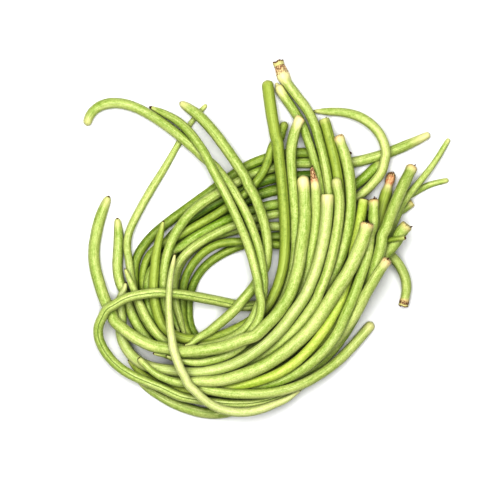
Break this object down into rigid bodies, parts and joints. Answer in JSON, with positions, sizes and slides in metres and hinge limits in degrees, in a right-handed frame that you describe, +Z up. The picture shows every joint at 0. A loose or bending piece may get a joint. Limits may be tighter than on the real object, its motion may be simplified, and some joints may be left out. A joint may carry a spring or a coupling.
{
  "type": "yardlong bean bunch",
  "caption": "Loose bunch of long thin green bean pods lying curled in an open ring, stalk ends fanned out to one side",
  "frame": {"origin": "under the middle of the bunch's box, on the surface that it lies on", "axes": "+Z up from the surface, +X to the right across the bunch, towards the fanned stalk ends, +Y away, towards the topmost stalk end"},
  "size_m": [0.2938, 0.2858, 0.0431],
  "materials": {
    "pod_deep": "satin plant skin, deep green",
    "pod_mid": "satin plant skin, light green",
    "pod_bright": "satin plant skin, yellow green",
    "pod_pale": "satin plant skin, pale green"
  },
  "bodies": {
    "root": {"pod_01": "pod_mid", "pod_02": "pod_deep", "pod_03": "pod_mid", "pod_04": "pod_mid", "pod_05": "pod_mid", "pod_06": "pod_deep", "pod_07": "pod_mid", "pod_08": "pod_mid", "pod_09": "pod_pale", "pod_10": "pod_mid", "pod_11": "pod_mid", "pod_12": "pod_bright", "pod_13": "pod_mid", "pod_14": "pod_deep", "pod_15": "pod_mid", "pod_16": "pod_mid", "pod_17": "pod_mid", "pod_18": "pod_mid", "pod_19": "pod_deep", "pod_20": "pod_deep", "pod_21": "pod_mid", "pod_22": "pod_mid", "pod_23": "pod_mid", "pod_24": "pod_mid", "pod_25": "pod_deep", "pod_26": "pod_deep", "pod_27": "pod_mid", "pod_28": "pod_mid", "pod_29": "pod_mid", "pod_30": "pod_mid", "pod_31": "pod_mid", "pod_32": "pod_mid", "pod_33": "pod_pale", "pod_34": "pod_mid", "pod_35": "pod_deep", "pod_36": "pod_deep", "pod_37": "pod_mid"}
  },
  "joints": []
}
